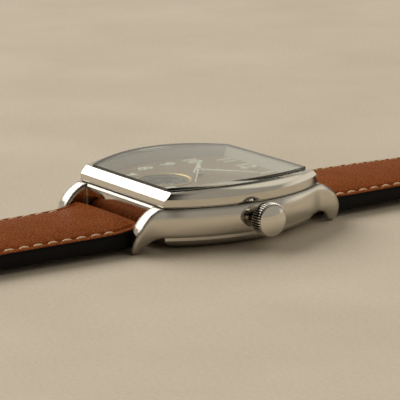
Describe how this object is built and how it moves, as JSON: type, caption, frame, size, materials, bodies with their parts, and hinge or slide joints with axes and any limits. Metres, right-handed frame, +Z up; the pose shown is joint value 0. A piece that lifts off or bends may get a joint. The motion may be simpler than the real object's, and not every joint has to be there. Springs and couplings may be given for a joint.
{
  "type": "wristwatch",
  "caption": "Tonneau wristwatch with curved lugs, an open dial over the balance, a fluted crown and a padded, stitched leather strap with a tang buckle.",
  "frame": {"origin": "On the axis of the hands, in the flat plane of the case back, which lies on the table.", "axes": "+Z up through the crystal, +Y to 12 o'clock, +X to 3 o'clock and the crown."},
  "size_m": [0.0423, 0.2473, 0.0118],
  "materials": {
    "polished_steel": "mirror polished stainless steel",
    "hard_steel": "hardened steel, fine grained",
    "hand_steel": "polished steel hands",
    "rhodium_plate": "rhodium plated brass, striped",
    "blued_steel": "heat blued steel",
    "gilt_brass": "gilt brass",
    "ruby": "synthetic ruby, polished",
    "sapphire": "synthetic sapphire crystal",
    "black_seal": "black sealing ring",
    "flange_grey": "grey lacquered flange",
    "dial_lacquer": "silver grey lacquered dial",
    "tan_leather": "tan calf leather, waxed",
    "black_leather": "black lining leather and painted edge"
  },
  "bodies": {
    "case": {"case_middle": "polished_steel", "bezel": "polished_steel", "crystal": "sapphire", "crystal_seal": "black_seal", "flange_ring": "flange_grey", "dial": "dial_lacquer", "open_heart_ring": "gilt_brass", "case_back": "polished_steel", "case_back_window": "sapphire", "case_back_seal": "black_seal", "case_back_screws": "polished_steel", "movement_ring": "rhodium_plate", "main_plate": "rhodium_plate", "barrel_bridge": "rhodium_plate", "train_bridge": "rhodium_plate", "balance_cock": "rhodium_plate", "pallet_bridge": "rhodium_plate", "dial_side_bridge": "rhodium_plate", "bridge_screws": "blued_steel", "movement_jewels": "ruby", "rotor_bearing": "hard_steel", "crown_tube": "hard_steel", "spring_bar_12": "hard_steel", "spring_bar_6": "hard_steel", "hairspring_stud": "hard_steel"},
    "crown_clutch": {"sliding_pinion": "hard_steel"},
    "crown": {"crown": "polished_steel", "winding_stem": "hard_steel", "crown_seal": "black_seal"},
    "seconds": {"fourth_wheel": "gilt_brass", "seconds_hand": "hand_steel"},
    "minutes": {"cannon_pinion": "hard_steel", "minute_hand": "hand_steel"},
    "hours": {"hour_wheel": "gilt_brass", "hour_hand": "hand_steel"},
    "third": {"third_wheel": "gilt_brass"},
    "second": {"second_wheel": "gilt_brass"},
    "mainspring_barrel": {"barrel": "gilt_brass"},
    "escape": {"escape_wheel": "hard_steel"},
    "pallet": {"pallet_fork": "hard_steel", "pallet_stones": "ruby"},
    "balance": {"balance_wheel": "gilt_brass", "balance_staff": "hard_steel", "hairspring": "blued_steel"},
    "winding_rotor": {"rotor": "hard_steel", "rotor_weight": "gilt_brass"},
    "strap_buckle_half": {"strap_12": "tan_leather", "strap_12_lining": "black_leather", "fixed_keeper": "tan_leather"},
    "keeper": {"free_keeper": "tan_leather"},
    "buckle": {"buckle_frame": "polished_steel", "buckle_bar": "hard_steel"},
    "tang": {"buckle_tang": "polished_steel"},
    "strap_hole_half": {"strap_6": "tan_leather", "strap_6_lining": "black_leather"}
  },
  "joints": [
    {"name": "crown_turn", "type": "hinge", "parent": "case", "child": "crown_clutch", "pos_m": [0.0075, 0, 0.00525], "axis": [1, 0, 0], "continuous": true},
    {"name": "crown_pull", "type": "slide", "parent": "crown_clutch", "child": "crown", "axis": [1, 0, 0], "range_m": [0, 0.0012]},
    {"name": "seconds_turn", "type": "hinge", "parent": "case", "child": "seconds", "pos_m": [0, 0, 0.005], "axis": [0, 0, -1], "continuous": true},
    {"name": "minutes_turn", "type": "hinge", "parent": "case", "child": "minutes", "pos_m": [0, 0, 0.005], "axis": [0, 0, -1], "continuous": true},
    {"name": "hours_turn", "type": "hinge", "parent": "case", "child": "hours", "pos_m": [0, 0, 0.005], "axis": [0, 0, -1], "continuous": true},
    {"name": "third_turn", "type": "hinge", "parent": "case", "child": "third", "pos_m": [0.0026, -0.00095, 0.005], "axis": [0, 0, -1], "continuous": true},
    {"name": "second_turn", "type": "hinge", "parent": "case", "child": "second", "pos_m": [0.00327, 0.00154, 0.005], "axis": [0, 0, -1], "continuous": true},
    {"name": "barrel_turn", "type": "hinge", "parent": "case", "child": "mainspring_barrel", "pos_m": [0.00135, 0.0063, 0.005], "axis": [0, 0, -1], "continuous": true},
    {"name": "escape_turn", "type": "hinge", "parent": "case", "child": "escape", "pos_m": [0, -0.00283, 0.006], "axis": [0, 0, -1], "continuous": true},
    {"name": "pallet_rock", "type": "hinge", "parent": "case", "child": "pallet", "pos_m": [0, -0.00503, 0.006], "axis": [0, 0, -1], "range_deg": [-4, 4]},
    {"name": "balance_swing", "type": "hinge", "parent": "case", "child": "balance", "pos_m": [0, -0.0077, 0.005], "axis": [0, 0, -1], "range_deg": [-270, 270], "stiffness_Nm_per_rad": 0.0000004, "deforming": ["hairspring"]},
    {"name": "rotor_turn", "type": "hinge", "parent": "case", "child": "winding_rotor", "pos_m": [0, 0, 0.002], "axis": [0, 0, -1], "continuous": true},
    {"name": "strap_12_swing", "type": "hinge", "parent": "case", "child": "strap_buckle_half", "pos_m": [0, 0.0202, 0.003], "axis": [-1, 0, 0], "range_deg": [-15, 78]},
    {"name": "strap_6_swing", "type": "hinge", "parent": "case", "child": "strap_hole_half", "pos_m": [0, -0.0202, 0.003], "axis": [1, 0, 0], "range_deg": [-15, 78]},
    {"name": "keeper_slide", "type": "slide", "parent": "strap_buckle_half", "child": "keeper", "axis": [0, -1, 0], "range_m": [0, 0.012]},
    {"name": "buckle_swing", "type": "hinge", "parent": "strap_buckle_half", "child": "buckle", "pos_m": [0, 0.0952, 0.00255], "axis": [1, 0, 0], "range_deg": [-20, 60]},
    {"name": "tang_swing", "type": "hinge", "parent": "buckle", "child": "tang", "pos_m": [0, 0.0952, 0.00255], "axis": [1, 0, 0], "range_deg": [0, 75]}
  ],
  "couplings": [
    {"joint": "minutes_turn", "follows": "seconds_turn", "ratio": 0.016667},
    {"joint": "hours_turn", "follows": "seconds_turn", "ratio": 0.0013889},
    {"joint": "third_turn", "follows": "seconds_turn", "ratio": -0.13333},
    {"joint": "second_turn", "follows": "seconds_turn", "ratio": 0.016667},
    {"joint": "barrel_turn", "follows": "seconds_turn", "ratio": -0.0025},
    {"joint": "escape_turn", "follows": "seconds_turn", "ratio": -9}
  ]
}
